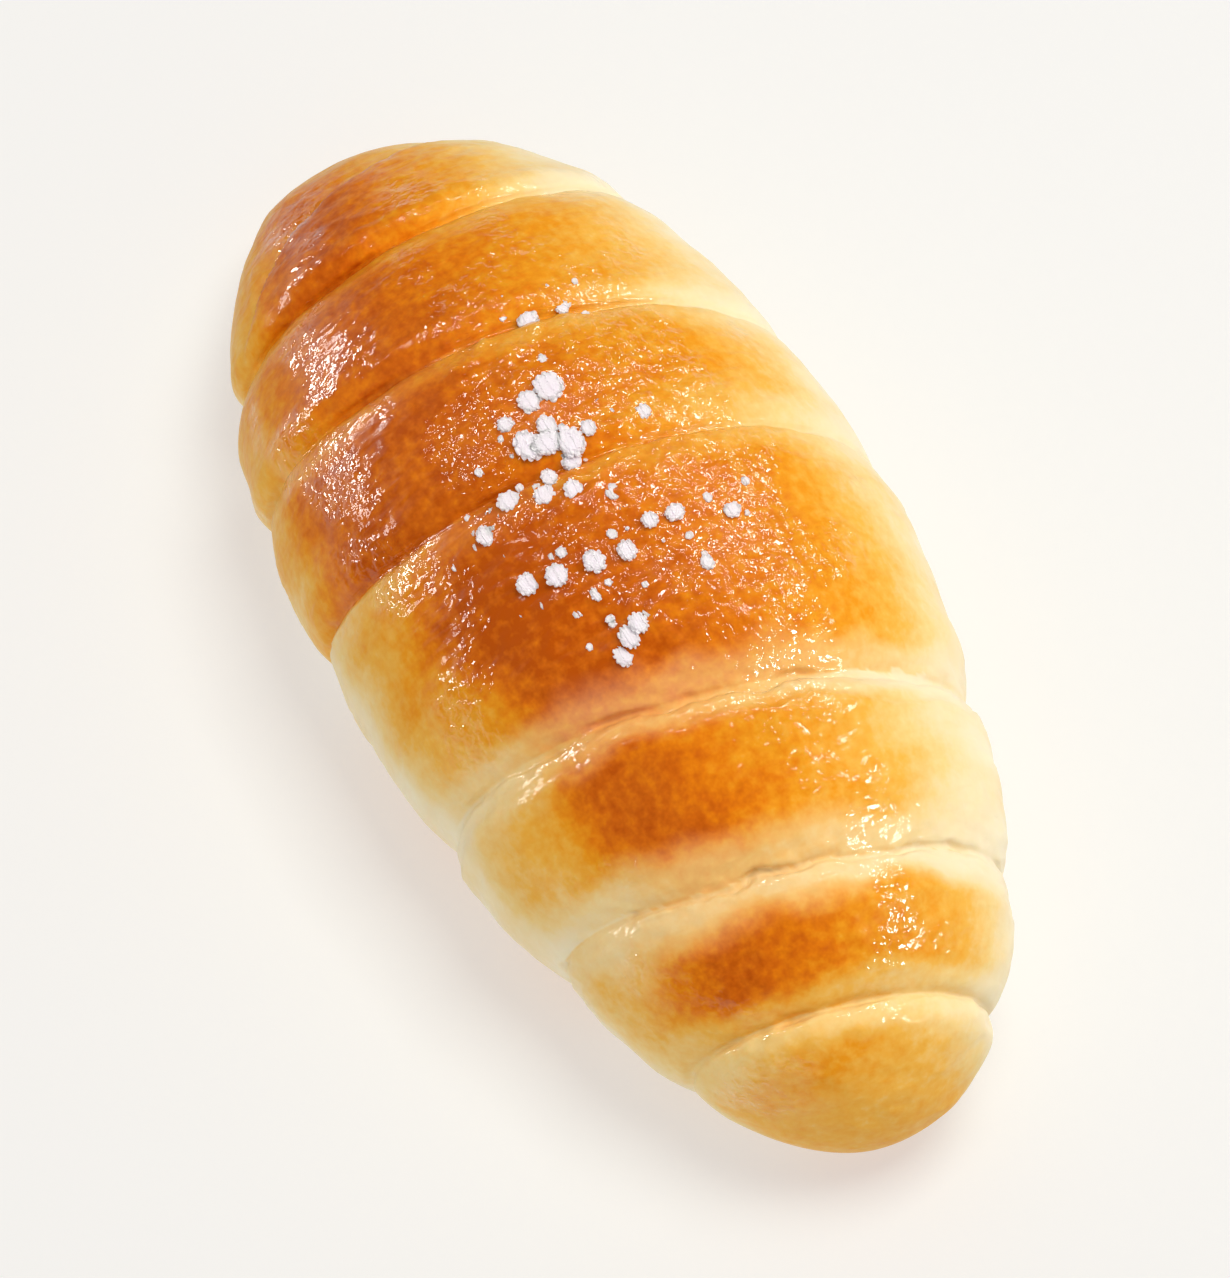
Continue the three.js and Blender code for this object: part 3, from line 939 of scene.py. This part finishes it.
class BREAD_OT_stage(bpy.types.Operator):
    """Lay the floor, set the lights and place the camera"""

    bl_idname = "bread.stage"
    bl_label = "Stage"

    def execute(self, context):
        settings = context.scene.stage_settings
        deselect_all()
        bpy.ops.mesh.primitive_plane_add(size=FLOOR_SIZE)
        floor = settle(context.object, "floor", floor_material(settings))
        self.camera(context, settings)
        key = self.light("key", *KEY, settings.key, KEY_WHITE)
        glints = [self.light("glint", toward, size, share * settings.glint, GLINT_WHITE)
                  for toward, size, share in GLINTS]
        front = self.light("front", *FRONT, settings.front, ROOM_WHITE)
        top = self.light("top", *TOP, settings.top, ROOM_WHITE)
        for lamp in (top, front, key):
            lamp.visible_glossy = False  # cross-polarised: they give no glare
        for lamp in glints:
            lamp.visible_diffuse = False  # they give the glare alone
        self.flag_off((key, front, *glints), floor)
        world = bpy.data.worlds.new("soft_room")
        world.use_nodes = True
        background = world.node_tree.nodes["Background"]
        background.inputs["Color"].default_value = linear(ROOM_WHITE)
        background.inputs["Strength"].default_value = settings.sky
        world.cycles_visibility.glossy = False  # the room beyond the lamps is dark
        context.scene.world = world
        context.scene.view_settings.view_transform = "Standard"
        return {"FINISHED"}

    @staticmethod
    def flag_off(lamps, floor):
        """Keeps the low lights off the floor, as flags on stands do, so that the loaf's shadow
        stays close to it."""
        flagged = bpy.data.collections.new("flagged_off")
        flagged.objects.link(floor)
        flagged.collection_objects[0].light_linking.link_state = "EXCLUDE"
        for lamp in lamps:
            lamp.light_linking.receiver_collection = flagged

    @staticmethod
    def light(name, toward, size, brightness, colour):
        """A softbox 1 m from the loaf, `toward` an azimuth and elevation in degrees. A brightness
        of 1 lights a white surface that faces it to full white."""
        azimuth, elevation = map(math.radians, toward)
        way = Vector((math.cos(azimuth) * math.cos(elevation),
                      math.sin(azimuth) * math.cos(elevation), math.sin(elevation)))
        bpy.ops.object.light_add(type="AREA", location=way + Vector((0, 0, LAMP_HEIGHT)))
        lamp = bpy.context.object
        lamp.name = lamp.data.name = name
        lamp.data.shape = "RECTANGLE"
        lamp.data.size, lamp.data.size_y = size
        lamp.data.energy = brightness * math.pi ** 2
        lamp.data.color = linear(colour)[:3]
        lamp.rotation_euler = way.to_track_quat("Z", "Y").to_euler()
        lamp.visible_camera = False
        return lamp

    @staticmethod
    def camera(context, settings):
        """The camera looks down on the loaf from its narrow end's side."""
        rise, heading = settings.elevation, settings.heading
        back = Vector((math.sin(heading) * math.cos(rise),
                       -math.cos(heading) * math.cos(rise), math.sin(rise)))
        right = Vector((math.cos(heading), math.sin(heading), 0))
        up = back.cross(right)
        aim = (Vector(AIM) + right * AIM_SHIFT[0] + up * AIM_SHIFT[1]) * MM
        bpy.ops.object.camera_add(location=aim + back * settings.distance)
        camera = context.object
        camera.name = camera.data.name = "camera"
        camera.matrix_world = Matrix((
            (right.x, up.x, back.x, camera.location.x),
            (right.y, up.y, back.y, camera.location.y),
            (right.z, up.z, back.z, camera.location.z),
            (0, 0, 0, 1)))
        camera.data.sensor_width = SENSOR
        camera.data.lens = LENS
        camera.data.clip_start, camera.data.clip_end = CLIP
        context.scene.camera = camera


class BREAD_PT_panel(bpy.types.Panel):
    """The steps of the roll"""

    bl_idname = "BREAD_PT_panel"
    bl_label = "Salt bread roll"
    bl_space_type = "VIEW_3D"
    bl_region_type = "UI"
    bl_category = "Bread"

    def draw(self, context):
        for step in STEPS:
            self.layout.operator(step.bl_idname)
        for group in GROUPS:
            box = self.layout.box()
            settings = getattr(context.scene, group)
            for name in settings.bl_rna.properties.keys():
                if name not in ("rna_type", "name"):
                    box.prop(settings, name)


STEPS = (BREAD_OT_loaf, BREAD_OT_salt, BREAD_OT_stage)
GROUPS = {
    "crust_settings": CrustSettings,
    "salt_settings": SaltSettings,
    "stage_settings": StageSettings,
}
CLASSES = (*GROUPS.values(), *STEPS, BREAD_PT_panel)


def register():
    """Adds the classes and the groups of settings to Blender."""
    for item in CLASSES:
        bpy.utils.register_class(item)
    for name, group in GROUPS.items():
        setattr(bpy.types.Scene, name, bpy.props.PointerProperty(type=group))


def unregister():
    """Takes the classes and the groups of settings out again."""
    for name in GROUPS:
        delattr(bpy.types.Scene, name)
    for item in reversed(CLASSES):
        bpy.utils.unregister_class(item)


def main():
    """Builds every piece."""
    register()
    for step in STEPS:
        group, name = step.bl_idname.split(".")
        getattr(getattr(bpy.ops, group), name)()


if __name__ == "__main__":
    main()
